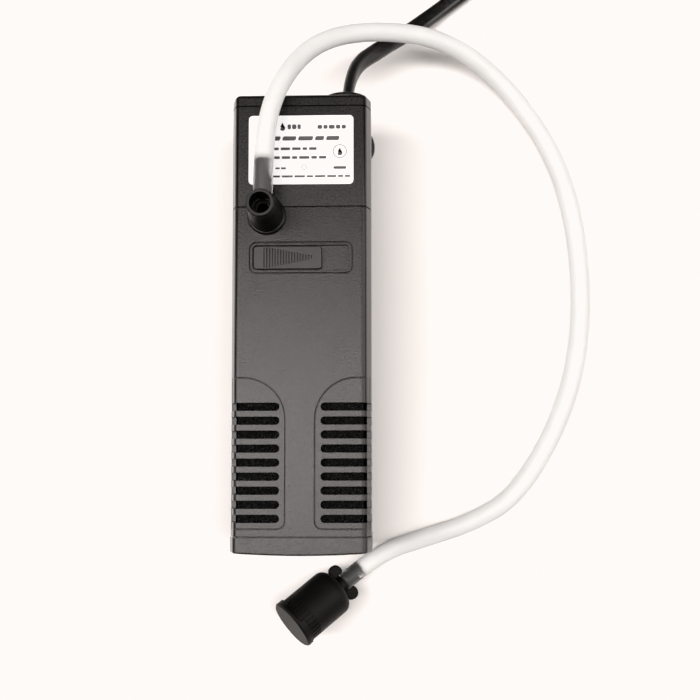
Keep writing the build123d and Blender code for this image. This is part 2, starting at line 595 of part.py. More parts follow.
with BuildPart() as flow_slider:
    block(SLIDER_X, SLIDER_Y, 0.9, SLIDER_Z)
    fillet(flow_slider.faces().sort_by(Axis.Z)[-1].edges(), 0.2)
    box_between(STEM_X, STEM_Y, (STEM_Z, SLIDER_Z[0]))
    for ridge in range(RIDGE_COUNT):
        x = RIDGE_START_X + ridge * RIDGE_PITCH
        tall = RIDGE_TALL + (RIDGE_SHORT - RIDGE_TALL) * max(0, ridge - 2) / (RIDGE_COUNT - 3)
        with Locations((x, sum(SLIDER_Y) / 2, SLIDER_Z[1])):
            Box(RIDGE_WIDTH, tall, 2 * RIDGE_DEPTH, mode=Mode.SUBTRACT)
finish(flow_slider, "flow_slider")

with BuildPart() as slider_clip:
    box_between(CLIP_X, CLIP_Y, CLIP_Z)
    box_between(STEM_X, STEM_Y, CLIP_Z, mode=Mode.SUBTRACT)
finish(slider_clip, "slider_clip")

inside_half, inside_z = BACK_HALF - WALL - 0.4, (BACK_Z + WALL + 0.3, FRONT_Z - WALL - 0.6)
with BuildPart() as filter_sponge:
    box_between((-inside_half, inside_half), SPONGE_Y, inside_z)
    fillet(filter_sponge.edges().filter_by(Axis.Y), 2.0)
    rod(ROTOR_X, ROTOR_Z, SPONGE_BORE_R, (SPONGE_Y[0] + 12, SPONGE_Y[1]), mode=Mode.SUBTRACT)
finish(filter_sponge, "filter_sponge")

with BuildPart() as sponge_grid:
    box_between((-inside_half, inside_half), GRID_Y, (inside_z[0], PAD_Z - 1.5))
    with BuildSketch(across(GRID_Y[1])):
        with Locations((0, (inside_z[0] + PAD_Z - 1.5) / 2)):
            with GridLocations(5.2, 5.2, 7, 5):
                Circle(1.9)
    extrude(amount=GRID_Y[1] - GRID_Y[0], mode=Mode.SUBTRACT)
finish(sponge_grid, "sponge_grid")

with BuildPart() as bottom_cap:
    with BuildSketch(across(FOOT_SEAM_Y - SEAM_GAP)):
        body_outline(-FOOT_PROUD)
    extrude(amount=-FOOT_Y + FOOT_SEAM_Y - SEAM_GAP)
    with BuildSketch(Plane.XY):
        with BuildLine():
            half = FLANK_HALF + 2
            bow = FOOT_BOW * (half / FACE_HALF) ** 2
            ThreePointArc((-half, FOOT_Y + bow), (0, FOOT_Y), (half, FOOT_Y + bow))
            Polyline((half, FOOT_Y + bow), (half, FOOT_Y + 8), (-half, FOOT_Y + 8), (-half, FOOT_Y + bow))
        make_face()
    extrude(amount=FRONT_Z + 5, mode=Mode.INTERSECT)
    fillet(bottom_cap.faces().sort_by(Axis.Y)[0].edges(), 0.5)
    with BuildSketch(across(FOOT_SEAM_Y)):
        body_outline(SEAM_DEPTH, radii=(1.2, 2.0, 0.6))
    extrude(amount=SEAM_GAP)
    with BuildSketch(across(FOOT_SEAM_Y + 2.4)):
        body_outline(WALL + 0.1, radii=(0.8, 1.5, 0.6))
        body_outline(WALL + 1.5, radii=(0.5, 0.8, 0.4))
    extrude(amount=2.4)
    with BuildSketch(across(FOOT_SEAM_Y)):
        body_outline(WALL + 1.5, radii=(0.5, 0.8, 0.4))
    extrude(amount=3.6, mode=Mode.SUBTRACT)
finish(bottom_cap, "bottom_cap")

# ================= back =================
with BuildPart() as mounting_bracket:
    block((-BRACKET_X, BRACKET_X), BRACKET_Y, 4.0, BRACKET_Z)
    for side in (1, -1):
        rail_edge = side * (BRACKET_X - RAIL_WIDTH)
        rail = (min(rail_edge, side * BRACKET_X), max(rail_edge, side * BRACKET_X))
        box_between(rail, (BRACKET_Y[0] + 6, BRACKET_Y[1] - 6), (BRACKET_Z[1], BACK_Z))
    with Locations(*[(x, y, BRACKET_Z[0]) for x, y in CUPS]):
        Cylinder(CUP_NECK_R, 10, mode=Mode.SUBTRACT)
    # clearance for the cups' heads beside the rails
    with Locations(*[(x, y, BACK_Z - 0.5) for x, y in CUPS]):
        Cylinder(CUP_HEAD_R + 0.3, 1.4, mode=Mode.SUBTRACT)
finish(mounting_bracket, "mounting_bracket")

with BuildPart() as suction_cups:
    with BuildSketch(Plane.XZ):
        with BuildLine():
            Polyline((0, 2.0), (0, 6.8), (CUP_HEAD_R - 0.4, 6.8), (CUP_HEAD_R, 6.4), (CUP_HEAD_R, 5.8))
            Polyline((CUP_HEAD_R, 5.8), (CUP_NECK_R, 5.8), (CUP_NECK_R, 4.2), (3.4, 4.2), (3.4, 3.6))
            Spline((3.4, 3.6), (5.6, 2.4), (CUP_R, 0.35), tangents=[(1, -0.2), (0.55, -0.8)])
            Polyline((CUP_R, 0.35), (CUP_R, 0), (CUP_R - CUP_LIP, 0))
            Spline((CUP_R - CUP_LIP, 0), (4.6, 1.5), (0, 2.0), tangents=[(-0.55, 0.8), (-1, 0)])
        make_face()
    revolve(axis=Axis.Z)
    cup = suction_cups.part
    for place in CUPS:
        add(Pos(*place, 0) * cup)
    add(cup, mode=Mode.SUBTRACT)
finish(suction_cups, "suction_cups")

# ================= silencer =================
azimuth, rise = math.radians(SILENCER_AZIMUTH), math.radians(SILENCER_RISE)
silencer_axis = Vector(
    math.cos(rise) * math.cos(azimuth), math.cos(rise) * math.sin(azimuth), -math.sin(rise)
)
silencer_foot = Vector(*HOSE_POINTS[-1]) - silencer_axis * HOSE_END_ON_STEM
silencer_side = (-math.sin(azimuth), math.cos(azimuth), 0)
silencer_plane = Plane(origin=silencer_foot, x_dir=silencer_side, z_dir=silencer_axis)


def turned(points):
    """Adds the solid that a half-section turns into, about the silencer's axis."""
    section = Plane(origin=silencer_plane.origin, x_dir=silencer_plane.x_dir, z_dir=-silencer_plane.y_dir)
    with BuildSketch(section) as half_section:
        with BuildLine() as outline:
            Polyline(*points, close=True)
        make_face(outline.edges())
    revolve(half_section.sketch, axis=Axis(silencer_plane.origin, silencer_plane.z_dir))


shoulder = 3.2
shoulder_arc = [
    (
        SILENCER_R - shoulder + shoulder * math.cos(math.radians(step)),
        SILENCER_LONG - shoulder + LIP_LONG + shoulder * math.sin(math.radians(step)),
    )
    for step in range(0, 91, 15)
]
with BuildPart() as silencer_body:
    turned(
        [(SILENCER_R - 1.2, LIP_LONG), (SILENCER_R, LIP_LONG)]
        + shoulder_arc
        + [
            (STEM_OUT_R, SILENCER_LONG + LIP_LONG),
            (STEM_OUT_R, SILENCER_LONG + LIP_LONG - 1.4),
            (SILENCER_R - 2.6, SILENCER_LONG + LIP_LONG - 1.4),
            (SILENCER_R - 1.2, SILENCER_LONG + LIP_LONG - 3.4),
        ]
    )
    # fine flutes round the end that the cap closes
    with BuildSketch(silencer_plane.offset(LIP_LONG)):
        with PolarLocations(SILENCER_R, FLUTE_COUNT):
            Rectangle(2 * FLUTE_DEPTH, FLUTE_WIDE)
    extrude(amount=FLUTE_LONG, mode=Mode.SUBTRACT)
finish(silencer_body, "silencer_body")

with BuildPart() as silencer_cap:
    turned(
        [
            (0, 0),
            (FLANGE_LIP_R - 0.5, 0),
            (FLANGE_LIP_R, 0.5),
            (FLANGE_LIP_R, 1.3),
            (SILENCER_R + 0.2, 1.5),
            (SILENCER_R + 0.2, LIP_LONG),
            (SILENCER_R - 1.2, LIP_LONG),
            (SILENCER_R - 1.2, LIP_LONG + 2.0),
            (SILENCER_R - 2.2, LIP_LONG + 2.0),
            (SILENCER_R - 2.2, 1.4),
            (0, 1.4),
        ]
    )
    # grip lugs under the lip
    with BuildSketch(silencer_plane.offset(1.0)):
        with PolarLocations(0, LUG_COUNT // 2, start_angle=20, angular_range=180):
            Rectangle(2 * FLANGE_LIP_R, LUG_WIDE)
        Circle(FLANGE_LIP_R, mode=Mode.INTERSECT)
        Circle(SILENCER_R, mode=Mode.SUBTRACT)
    extrude(amount=LIP_LONG - 1.0)
finish(silencer_cap, "silencer_cap")

with BuildPart() as silencer_felt:
    turned(
        [
            (0, 4.8),
            (SILENCER_R - 1.6, 4.8),
            (SILENCER_R - 1.6, 15.6),
            (0, 15.6),
        ]
    )
finish(silencer_felt, "silencer_felt")

with BuildPart() as silencer_barb:
    turned(
        [
            (STEM_BORE_R, SILENCER_LONG + LIP_LONG - 2.0),
            (STEM_OUT_R + 1.2, SILENCER_LONG + LIP_LONG - 2.0),
            (STEM_OUT_R + 1.2, SILENCER_LONG + LIP_LONG - 1.4),
            (STEM_OUT_R, SILENCER_LONG + LIP_LONG - 1.4),
            (STEM_OUT_R, STEM_END - 0.8),
            (STEM_OUT_R - 0.5, STEM_END),
            (STEM_BORE_R, STEM_END),
        ]
    )
finish(silencer_barb, "silencer_barb")

ear_plane = Plane(
    origin=silencer_plane.origin, x_dir=-silencer_plane.x_dir, z_dir=silencer_plane.y_dir
)
with BuildPart() as silencer_knob:
    # two rounded ears beside the hose's end, on a flat web
    with BuildSketch(ear_plane.offset(-EAR_THICK / 2)):
        with Locations((EAR_OUT, EAR_ALONG), (-EAR_OUT, EAR_ALONG)):
            Circle(EAR_R)
    extrude(amount=EAR_THICK)
    fillet(silencer_knob.edges().filter_by(GeomType.CIRCLE), 0.7)
    with BuildSketch(ear_plane.offset(0.7 - EAR_THICK / 2)):
        with Locations((0, sum(KNOB_SPAN) / 2)):
            Rectangle(2 * EAR_OUT, KNOB_SPAN[1] - KNOB_SPAN[0] - 0.3)
    extrude(amount=EAR_THICK - 1.4)
    with BuildSketch(silencer_plane.offset(KNOB_SPAN[0])):
        Circle(KNOB_HUB_R)
    extrude(amount=KNOB_SPAN[1] - KNOB_SPAN[0])
    with BuildSketch(silencer_plane.offset(KNOB_SPAN[1])):
        Circle(HOSE_R + 0.15)
    extrude(amount=6, mode=Mode.SUBTRACT)
    with BuildSketch(silencer_plane.offset(KNOB_SPAN[0])):
        Circle(STEM_OUT_R + SHAFT_PLAY)
    extrude(amount=KNOB_SPAN[1] - KNOB_SPAN[0], mode=Mode.SUBTRACT)
finish(silencer_knob, "silencer_knob")

# ================= hose and lead =================
with BuildPart() as air_tube:
    hose_length = sweep_along(HOSE_POINTS, HOSE_R, HOSE_BORE_R)
finish(air_tube, "air_tube")
report_tube("air_tube", air_tube, HOSE_POINTS, math.pi * (HOSE_R**2 - HOSE_BORE_R**2), hose_length)

with BuildPart() as power_cord_run:
    run_length = sweep_along(LEAD_POINTS, LEAD_R)
finish(power_cord_run, "power_cord_run")
report_tube("power_cord_run", power_cord_run, LEAD_POINTS, math.pi * LEAD_R**2, run_length)

with BuildPart() as power_cord_tail:
    tail_length = sweep_along(TAIL_POINTS, LEAD_R)
finish(power_cord_tail, "power_cord_tail")
report_tube("power_cord_tail", power_cord_tail, TAIL_POINTS, math.pi * LEAD_R**2, tail_length)

coil_inner_r = COIL_TURN_R - COIL_TURNS * COIL_PITCH - LEAD_R
# a strap round the coil's bundle
tie_turn = math.radians(TIE_ANGLE)
tie_middle = (COIL_TURN_R + LEAD_R + coil_inner_r) / 2
tie_half = (COIL_TURN_R + LEAD_R - coil_inner_r) / 2
tie_out = Vector(math.cos(tie_turn), math.sin(tie_turn), 0)
tie_plane = Plane(
    origin=Vector(COIL_X, COIL_Y, COIL_TOP_Z / 2) + tie_out * tie_middle,
    x_dir=tie_out,
    z_dir=(-tie_out.Y, tie_out.X, 0),
)
with BuildPart() as cord_tie:
    with BuildSketch(tie_plane.offset(-TIE_WIDE / 2)):
        wide, tall = 2 * (tie_half + 0.6), COIL_TOP_Z
        RectangleRounded(wide + 2 * TIE_THICK, tall, 2.6)
        RectangleRounded(wide, tall - 2 * TIE_THICK, 2.0, mode=Mode.SUBTRACT)
    extrude(amount=TIE_WIDE)
finish(cord_tie, "cord_tie")

with BuildPart() as power_cord_coil:
    with BuildSketch(Plane.XY.offset(0.05)):
        with Locations((COIL_X, COIL_Y)):
            Circle(COIL_TURN_R + LEAD_R)
            Circle(coil_inner_r, mode=Mode.SUBTRACT)
    extrude(amount=COIL_TOP_Z - 0.05)
    fillet(power_cord_coil.edges(), 2.0)
    add(cord_tie.part, mode=Mode.SUBTRACT)
finish(power_cord_coil, "power_cord_coil")

# the plug points the way the tail ends
plug_start = Vector(*TAIL_POINTS[-1])
plug_way = (plug_start - Vector(*TAIL_POINTS[-2])).normalized()
plug_plane = Plane(origin=plug_start, x_dir=(plug_way.Y, -plug_way.X, 0), z_dir=plug_way)
with BuildPart() as plug_strain_relief:
    with BuildSketch(plug_plane):
        Circle(LEAD_R + 0.5)
    with BuildSketch(plug_plane.offset(RELIEF_LONG)):
        Circle(RELIEF_R)
    loft()
finish(plug_strain_relief, "plug_strain_relief")

with BuildPart() as plug_body:
    with BuildSketch(plug_plane.offset(RELIEF_LONG)):
        RectangleRounded(11.5, 10.0, 3.5)
    with BuildSketch(plug_plane.offset(RELIEF_LONG + PLUG_LONG * 0.55)):
        RectangleRounded(PLUG_WIDE * 0.72, PLUG_THICK - 1.0, 4.5)
    with BuildSketch(plug_plane.offset(RELIEF_LONG + PLUG_LONG)):
        RectangleRounded(PLUG_WIDE, PLUG_THICK, 5.5)
    loft(ruled=True)
    fillet(plug_body.faces().sort_by(Axis(plug_start, plug_way))[-1].edges(), 1.0)
finish(plug_body, "plug_body")

pin_face = plug_plane.offset(RELIEF_LONG + PLUG_LONG)
with BuildPart() as plug_pin_sleeves:
    with BuildSketch(pin_face):
        with GridLocations(PIN_SPACING, 1, 2, 1):
            Circle(PIN_R)
            Circle(PIN_R - 0.6, mode=Mode.SUBTRACT)
    extrude(amount=PIN_SLEEVE_LONG)
finish(plug_pin_sleeves, "plug_pin_sleeves")

with BuildPart() as plug_pins:
    with BuildSketch(pin_face):
        with GridLocations(PIN_SPACING, 1, 2, 1):
            Circle(PIN_R - 0.6)
    extrude(amount=PIN_SLEEVE_LONG)
    with BuildSketch(pin_face.offset(PIN_SLEEVE_LONG)):
        with GridLocations(PIN_SPACING, 1, 2, 1):
            Circle(PIN_R)
    extrude(amount=PIN_LONG - PIN_SLEEVE_LONG)
    fillet(plug_pins.faces().sort_by(Axis(plug_start, plug_way))[-2:].edges(), 1.2)
finish(plug_pins, "plug_pins")
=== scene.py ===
"""Looks for a small submersible fountain pump: camera, light, materials, and the pieces that CAD leaves plain."""

import math
import random

import bmesh
import bpy
import numpy as np
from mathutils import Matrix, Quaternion, Vector, noise


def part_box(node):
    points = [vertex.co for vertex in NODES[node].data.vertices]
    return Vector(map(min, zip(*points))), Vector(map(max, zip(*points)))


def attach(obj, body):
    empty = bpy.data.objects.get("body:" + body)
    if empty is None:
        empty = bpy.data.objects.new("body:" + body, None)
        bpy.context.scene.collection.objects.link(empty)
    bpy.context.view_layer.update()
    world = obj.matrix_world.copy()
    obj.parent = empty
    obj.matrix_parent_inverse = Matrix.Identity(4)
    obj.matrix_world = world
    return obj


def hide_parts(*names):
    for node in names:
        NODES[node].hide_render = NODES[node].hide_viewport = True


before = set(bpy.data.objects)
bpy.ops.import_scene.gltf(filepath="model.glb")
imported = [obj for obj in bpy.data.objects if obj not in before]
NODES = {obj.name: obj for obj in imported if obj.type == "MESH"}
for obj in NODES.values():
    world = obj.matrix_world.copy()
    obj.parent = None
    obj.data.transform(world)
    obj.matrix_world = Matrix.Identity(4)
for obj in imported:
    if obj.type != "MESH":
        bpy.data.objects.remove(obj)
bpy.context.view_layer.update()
scene = bpy.context.scene
MM = 0.001

# ---------------------------------------------------------------- camera
CAMERA_AT = (28.91, -46.21, 376.84)
CAMERA_TURN = (3.904, 1.555, -0.136)
CAMERA_LENS = 56.19
CAMERA_SHIFT = (-0.02, 0.06)

camera = bpy.data.objects.new("camera", bpy.data.cameras.new("camera"))
scene.collection.objects.link(camera)
scene.camera = camera
camera.location = Vector(CAMERA_AT) * MM
turn = Vector([math.radians(angle) for angle in CAMERA_TURN])
camera.rotation_mode = "QUATERNION"
camera.rotation_quaternion = Quaternion(turn.normalized(), turn.length)
camera.data.sensor_width = 36.0
camera.data.lens = CAMERA_LENS
camera.data.shift_x, camera.data.shift_y = CAMERA_SHIFT
camera.data.clip_start, camera.data.clip_end = 0.01, 20.0
scene.view_settings.view_transform = "Standard"


# ---------------------------------------------------------------- materials
class Look:
    """A node material with one Principled shader, and short ways to add nodes to it."""

    def __init__(self, name, **sockets):
        self.material = bpy.data.materials.new(name)
        self.material.use_nodes = True
        self.tree = self.material.node_tree
        self.shader = self.tree.nodes["Principled BSDF"]
        for socket, value in sockets.items():
            self.shader.inputs[socket.replace("_", " ")].default_value = value
        coordinates = self.tree.nodes.new("ShaderNodeTexCoord")
        self.coords, self.facing = coordinates.outputs["Object"], coordinates.outputs["Normal"]

    def add(self, kind, **inputs):
        node = self.tree.nodes.new("ShaderNode" + kind)
        for key, value in inputs.items():
            self.put(node.inputs[key.replace("_", " ")], value)
        return node

    def put(self, socket, value):
        if isinstance(value, bpy.types.NodeSocket):
            self.tree.links.new(value, socket)
        else:
            socket.default_value = value

    def noise(self, size, detail=2.0, rough=0.5, vector=None):
        """Noise whose features are about size metres across."""
        return self.add("TexNoise", Vector=vector or self.coords, Scale=1 / size, Detail=detail, Roughness=rough)

    def ramp(self, factor, *stops):
        node = self.add("ValToRGB", Fac=factor)
        elements = node.color_ramp.elements
        while len(elements) < len(stops):
            elements.new(0.5)
        for element, (place, colour) in zip(elements, stops):
            element.position = place
            element.color = colour if len(colour) == 4 else (*colour, 1)
        return node.outputs["Color"]

    def remap(self, value, low, high, to_low, to_high):
        node = self.add("MapRange", Value=value)
        for key, number in zip(("From Min", "From Max", "To Min", "To Max"), (low, high, to_low, to_high)):
            node.inputs[key].default_value = number
        return node.outputs["Result"]

    def bump(self, height, distance, normal=None, strength=1.0):
        node = self.add("Bump", Height=height, Distance=distance, Strength=strength)
        if normal is not None:
            self.put(node.inputs["Normal"], normal)
        return node.outputs["Normal"]

    def set(self, socket, value):
        self.put(self.shader.inputs[socket], value)


def grey(level, warm=0.0):
    return (level * (1 + warm), level, level * (1 - warm), 1)


# how squarely a surface looks along Z, from polished side to grained face
FACE_TURN = (0.86, 0.97)


def moulded(name, level, rough, grain, grain_size, soft_edge=0.12, warm=0.04, sheen=0.5, polished=None):
    """Black moulded plastic: eroded grain, faint flow marks, slightly rubbed edges.

    With polished, only the faces that look along the part's Z are grained; the sides have that roughness.
    """
    look = Look(name, Specular_IOR_Level=sheen)
    fine = look.noise(grain_size * MM, detail=3.0, rough=0.6)
    broad = look.noise(9 * MM, detail=2.0)
    tone = look.add("Mix", Factor=0.35)
    tone.data_type = "FLOAT"
    look.put(tone.inputs["A"], fine.outputs["Fac"])
    look.put(tone.inputs["B"], broad.outputs["Fac"])
    look.set(
        "Base Color",
        look.ramp(tone.outputs["Result"], (0.25, grey(level * 0.6, warm)), (0.75, grey(level * 1.5, warm))),
    )
    face_rough = look.remap(fine.outputs["Fac"], 0.3, 0.7, rough - 0.06, rough + 0.06)
    edge = look.add("Bevel", Radius=soft_edge * MM)
    edge.samples = 4
    bumped = look.bump(fine.outputs["Fac"], grain * MM, edge.outputs["Normal"])
    if polished is None:
        look.set("Roughness", face_rough)
        look.set("Normal", bumped)
        return look
    parted = look.add("SeparateXYZ")
    look.put(parted.inputs[0], look.facing)
    face = look.remap(parted.outputs["Z"], *FACE_TURN, 0.0, 1.0)
    rough_mix = look.add("Mix", Factor=face, A=polished, B=face_rough)
    look.set("Roughness", rough_mix.outputs["Result"])
    grained = look.add("Bump", Strength=face, Distance=grain * MM, Height=fine.outputs["Fac"])
    look.put(grained.inputs["Normal"], edge.outputs["Normal"])
    look.set("Normal", grained.outputs["Normal"])
    return look


def metal(name, colour, rough, streak=None):
    look = Look(name, Metallic=1.0, Roughness=rough)
    stretch = look.add("Mapping", Vector=look.coords)
    stretch.inputs["Scale"].default_value = streak or (1, 1, 1)
    marks = look.noise(0.3 * MM, detail=4.0, vector=stretch.outputs["Vector"])
    dark = tuple(channel * 0.8 for channel in colour[:3])
    look.set("Base Color", look.ramp(marks.outputs["Fac"], (0.3, dark), (0.7, colour)))
    look.set("Roughness", look.remap(marks.outputs["Fac"], 0.3, 0.7, rough * 0.8, rough * 1.3))
    look.set("Normal", look.bump(marks.outputs["Fac"], 0.01 * MM))
    return look


def dress(look, *nodes):
    """Gives CAD nodes a material."""
    for name in nodes:
        mesh = NODES[name].data
        mesh.materials.clear()
        mesh.materials.append(look.material)


case_look = moulded("case_plastic", 0.011, 0.28, 0.05, 0.5, soft_edge=0.25, sheen=0.30, polished=0.14)
head_look = moulded("head_plastic", 0.008, 0.30, 0.012, 0.45, soft_edge=0.2, sheen=0.36, polished=0.14)
nozzle_look = moulded("nozzle_plastic", 0.004, 0.40, 0.008, 0.25, soft_edge=0.15, sheen=0.3)
slider_look = moulded("slider_plastic", 0.010, 0.42, 0.012, 0.5, soft_edge=0.06, sheen=0.4)
silencer_look = moulded("silencer_plastic", 0.004, 0.55, 0.012, 0.30, soft_edge=0.18, sheen=0.2)
rubber_look = moulded("black_rubber", 0.008, 0.58, 0.010, 0.40, soft_edge=0.15)
inner_look = moulded("inner_plastic", 0.030, 0.50, 0.010, 0.30)
pale_look = moulded("pale_plastic", 0.60, 0.45, 0.010, 0.40)
resin_look = moulded("potting", 0.020, 0.15, 0.005, 1.50)
ceramic_look = moulded("ceramic", 0.75, 0.20, 0.004, 0.30)
ferrite_look = moulded("ferrite", 0.045, 0.35, 0.015, 0.15)
steel_look = metal("laminations", (0.50, 0.51, 0.53), 0.35, streak=(1, 12, 1))
copper_look = metal("winding", (0.78, 0.34, 0.16), 0.30, streak=(0.3, 0.3, 8))
pin_look = metal("plated_pins", (0.80, 0.78, 0.74), 0.18, streak=(1, 1, 6))

felt_look = Look("felt", Roughness=0.95, Sheen_Weight=0.4)
felt_fibre = felt_look.noise(0.12 * MM, detail=5.0, rough=0.7)
felt_look.set("Base Color", felt_look.ramp(felt_fibre.outputs["Fac"], (0.3, grey(0.55)), (0.7, grey(0.80))))
felt_look.set("Normal", felt_look.bump(felt_fibre.outputs["Fac"], 0.08 * MM))

label_look = Look("label_film", Roughness=0.42, Specular_IOR_Level=0.5)
label_fleck = label_look.noise(0.25 * MM, detail=3.0)
label_look.set(
    "Base Color", label_look.ramp(label_fleck.outputs["Fac"], (0.3, (0.83, 0.84, 0.86)), (0.7, (0.90, 0.91, 0.92)))
)
label_look.set("Normal", label_look.bump(label_fleck.outputs["Fac"], 0.004 * MM))

print_look = Look("label_print", Roughness=0.5)
print_fleck = print_look.noise(0.12 * MM, detail=2.0)
print_look.set("Base Color", print_look.ramp(print_fleck.outputs["Fac"], (0.3, grey(0.02)), (0.75, grey(0.07))))

dress(case_look, "filter_body", "bottom_cap")
dress(head_look, "motor_housing", "top_cap")
dress(nozzle_look, "outlet_nozzle", "venturi_insert")
dress(slider_look, "flow_slider", "slider_clip")
dress(silencer_look, "silencer_body", "silencer_cap", "silencer_knob", "silencer_barb")
dress(rubber_look, "cable_grommet", "suction_cups", "chamber_o_ring", "outlet_o_ring", "shaft_bush_top")
dress(rubber_look, "shaft_bush_bottom")
dress(inner_look, "volute_housing", "intake_cover", "sponge_grid", "mounting_bracket")
dress(pale_look, "coil_bobbin", "impeller")
dress(resin_look, "potting_resin")
dress(ceramic_look, "impeller_shaft")
dress(ferrite_look, "rotor_magnet")
dress(steel_look, "stator_core")
dress(copper_look, "coil_winding", "lead_wires", "crimp_sleeves")
dress(pin_look, "plug_pins")
dress(felt_look, "silencer_felt")
dress(label_look, "rating_label")


# ---------------------------------------------------------------- mesh helpers
def piece(name, mesh, look, body="pump", stands_for=(), smooth=True):
    """A finished object from a bmesh or a (points, faces) pair, riding on a body."""
    made = bpy.data.meshes.new(name)
    if isinstance(mesh, bmesh.types.BMesh):
        bmesh.ops.recalc_face_normals(mesh, faces=mesh.faces)
        mesh.to_mesh(made)
        mesh.free()
    else:
        made.from_pydata([tuple(p) for p in mesh[0]], [], mesh[1])
    made.validate()
    if smooth:
        made.polygons.foreach_set("use_smooth", [True] * len(made.polygons))
    made.materials.append(look.material)
    thing = bpy.data.objects.new(name, made)
    scene.collection.objects.link(thing)
    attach(thing, body)
    if stands_for:
        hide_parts(*stands_for)
    return thing


def spline_object(name, points, resolution):
    """A curve whose NURBS spline has these points, in millimetres, as its control points."""
    curve = bpy.data.curves.new(name, "CURVE")
    curve.dimensions = "3D"
    spline = curve.splines.new("NURBS")
    spline.points.add(len(points) - 1)
    for control, point in zip(spline.points, points):
        control.co = (*(Vector(point) * MM), 1)
    spline.order_u = 3
    spline.use_endpoint_u = True
    spline.resolution_u = resolution
    made = bpy.data.objects.new(name, curve)
    scene.collection.objects.link(made)
    return made


def read_path(name, points, resolution):
    """Points along that spline, and the distance along it at each."""
    guide = spline_object(name, points, resolution)
    mesh = bpy.data.meshes.new_from_object(guide)
    path = np.array([v.co for v in mesh.vertices], float)
    bpy.data.objects.remove(guide)
    bpy.data.meshes.remove(mesh)
    keep = np.r_[True, np.linalg.norm(np.diff(path, axis=0), axis=1) > 1e-7]
    path = path[keep]
    along = np.r_[0, np.cumsum(np.linalg.norm(np.diff(path, axis=0), axis=1))]
    return path, along


def even(path, along, step):
    """The path again at even steps."""
    count = max(2, round(along[-1] / step)) + 1
    places = np.linspace(0, along[-1], count)
    return np.stack([np.interp(places, along, path[:, axis]) for axis in range(3)], 1), places


def smoothstep(value, low, high):
    share = min(1.0, max(0.0, (value - low) / (high - low)))
    return share * share * (3 - 2 * share)


def frames_along(path):
    """For each point, its tangent, the level direction across it, and the direction square to both."""
    tangents = np.gradient(path, axis=0)
    tangents /= np.linalg.norm(tangents, axis=1)[:, None]
    across = np.cross((0, 0, 1), tangents)
    across /= np.linalg.norm(across, axis=1)[:, None]
    return tangents, across, np.cross(tangents, across)


def swept(path, places, section_at, closed_ends=True):
    """A tube along path. section_at(distance) gives the section's points as (across, up) pairs, in metres."""
    tangents, across, up = frames_along(path)
    points, faces = [], []
    for i, place in enumerate(places):
        for x, y in section_at(place):
            points.append(path[i] + across[i] * x + up[i] * y)
    size = len(points) // len(places)
    for i in range(len(places) - 1):
        for j in range(size):
            k = (j + 1) % size
            faces.append((i * size + j, i * size + k, (i + 1) * size + k, (i + 1) * size + j))
    if closed_ends:
        faces.append(tuple(reversed(range(size))))
        faces.append(tuple(range((len(places) - 1) * size, len(places) * size)))
    return points, faces


# ---------------------------------------------------------------- air hose
HOSE_R, HOSE_BORE_R = 3.0, 2.0
HOSE_ROUTE = [
    (-10.5, 36.5, 51.5),
    (-10.5, 54.0, 51.5),
    (-6.5, 71.5, 48.5),
    (4.0, 89.5, 36.5),
    (22.0, 98.0, 24.5),
    (46.5, 99.0, 14.0),
    (67.0, 88.0, 3.05),
    (85.0, 62.0, 3.05),
    (92.5, 33.5, 3.05),
    (93.5, -0.5, 3.05),
    (86.5, -29.5, 3.05),
    (70.5, -56.5, 3.05),
    (54.5, -65.5, 3.05),
    (38.5, -70.5, 3.05),
    (23.5, -75.5, 3.05),
    (11.9, -84.8, 8.8),
]
HOSE_RING = 40
# how much light passes where the hose is milky, and where it is pressed clear
HOSE_MILKY, HOSE_CLEAR = 0.25, 0.96
# millimetres that the hose grips on the nozzle's spigot and on the silencer's stem, and the fade at their ends
HOSE_GRIPS, GRIP_FADE = (11.0, 7.8), 0.5
# how wide the hose looks against its height, at distances in millimetres along it
HOSE_OVAL = [(0, 1.0), (12, 1.0), (20, 0.96), (32, 0.96), (60, 1.0), (110, 1.04), (325, 1.04), (340, 1.0), (360, 1.0)]

hose_look = Look("milky_hose", IOR=1.36)
hose_cloud = hose_look.noise(14 * MM, detail=2.0)
hose_snug = hose_look.add("Attribute")
hose_snug.attribute_name = "snug"
# where the hose grips a fitting it is pressed clear; elsewhere it is milky
hose_look.set("Transmission Weight", hose_look.remap(hose_snug.outputs["Fac"], 0.0, 1.0, HOSE_MILKY, HOSE_CLEAR))
hose_look.set("Roughness", hose_look.remap(hose_cloud.outputs["Fac"], 0.3, 0.7, 0.42, 0.5))
hose_look.set(
    "Base Color",
    hose_look.ramp(hose_cloud.outputs["Fac"], (0.3, (0.81, 0.815, 0.81)), (0.7, (0.85, 0.855, 0.85))),
)

hose_path, hose_along = read_path("hose_guide", HOSE_ROUTE, 24)
hose_path, hose_places = even(hose_path, hose_along, 1.0 * MM)
hose_end = hose_places[-1] / MM


def hose_grip(place):
    """1 where the hose sits on the nozzle's spigot or the silencer's stem, 0 between them."""
    on_spigot, on_stem = HOSE_GRIPS[0], hose_end - HOSE_GRIPS[1]
    start = 1 - smoothstep(place / MM, on_spigot - GRIP_FADE, on_spigot + GRIP_FADE)
    return max(start, smoothstep(place / MM, on_stem - GRIP_FADE, on_stem + GRIP_FADE))


def hose_ring(radius, place):
    wide = np.interp(place / MM, *zip(*HOSE_OVAL))
    tall = 2 - wide
    return [
        (radius * MM * wide * math.cos(a), radius * MM * tall * math.sin(a))
        for a in np.linspace(0, 2 * math.pi, HOSE_RING, endpoint=False)
    ]


